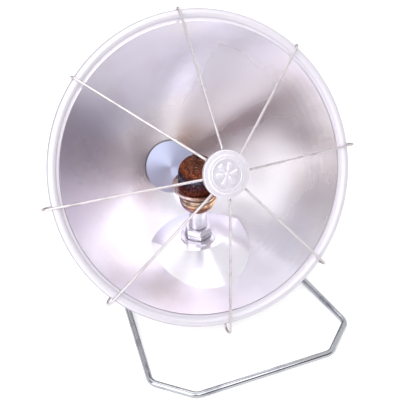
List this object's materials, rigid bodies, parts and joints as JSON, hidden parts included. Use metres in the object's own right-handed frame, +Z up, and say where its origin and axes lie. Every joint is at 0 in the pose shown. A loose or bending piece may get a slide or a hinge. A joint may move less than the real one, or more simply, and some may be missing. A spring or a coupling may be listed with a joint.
{
  "type": "parabolic gas heater",
  "caption": "Small parabolic gas heater: spun dish, gauze burner and hooked wire guard on a tilting bent-wire stand.",
  "frame": {"origin": "on the floor, under the middle of the heater's bounding box", "axes": "+Z up, the dish faces -Y and is tilted up, +X is the heater's left-hand side seen from behind, right seen from the front view along +Y"},
  "size_m": [0.3283, 0.264, 0.2815],
  "materials": {
    "spun_aluminium": "satin spun",
    "guard_wire": "nickel plated wire",
    "cap_plate": "satin plated",
    "fastener_plate": "zinc plated",
    "gauze_mesh": "heat-darkened woven gauze",
    "collar_steel": "polished, straw heat tint",
    "bowl_steel": "polished, brown heat tint",
    "stem_plate": "bright plated",
    "gas_brass": "turned",
    "stand_chrome": "bright chrome"
  },
  "bodies": {
    "stand": {"stand_rod": "stand_chrome", "pivot_jam_nuts": "fastener_plate", "pivot_washers": "fastener_plate", "pivot_lock_nuts": "fastener_plate"},
    "head": {"reflector": "spun_aluminium", "guard_wire_1": "guard_wire", "guard_wire_2": "guard_wire", "guard_wire_3": "guard_wire", "guard_wire_4": "guard_wire", "guard_wire_5": "guard_wire", "guard_wire_6": "guard_wire", "guard_wire_7": "guard_wire", "guard_wire_8": "guard_wire", "guard_cap": "cap_plate", "guard_backing_disc": "fastener_plate", "burner_gauze": "gauze_mesh", "burner_collar": "collar_steel", "burner_bowl": "bowl_steel", "gas_diffuser": "bowl_steel", "stem_tube": "stem_plate", "upper_nut": "fastener_plate", "upper_lock_nut": "fastener_plate", "seat_washer": "fastener_plate", "under_washer": "fastener_plate", "tilt_bracket": "fastener_plate", "lower_nut": "fastener_plate", "gas_elbow": "gas_brass", "injector": "gas_brass", "gas_inlet": "gas_brass"}
  },
  "joints": [
    {"name": "head_tilt", "type": "hinge", "parent": "stand", "child": "head", "pos_m": [0, 0.05943, 0.0289], "axis": [-1, 0, 0], "range_deg": [0, 30]}
  ]
}
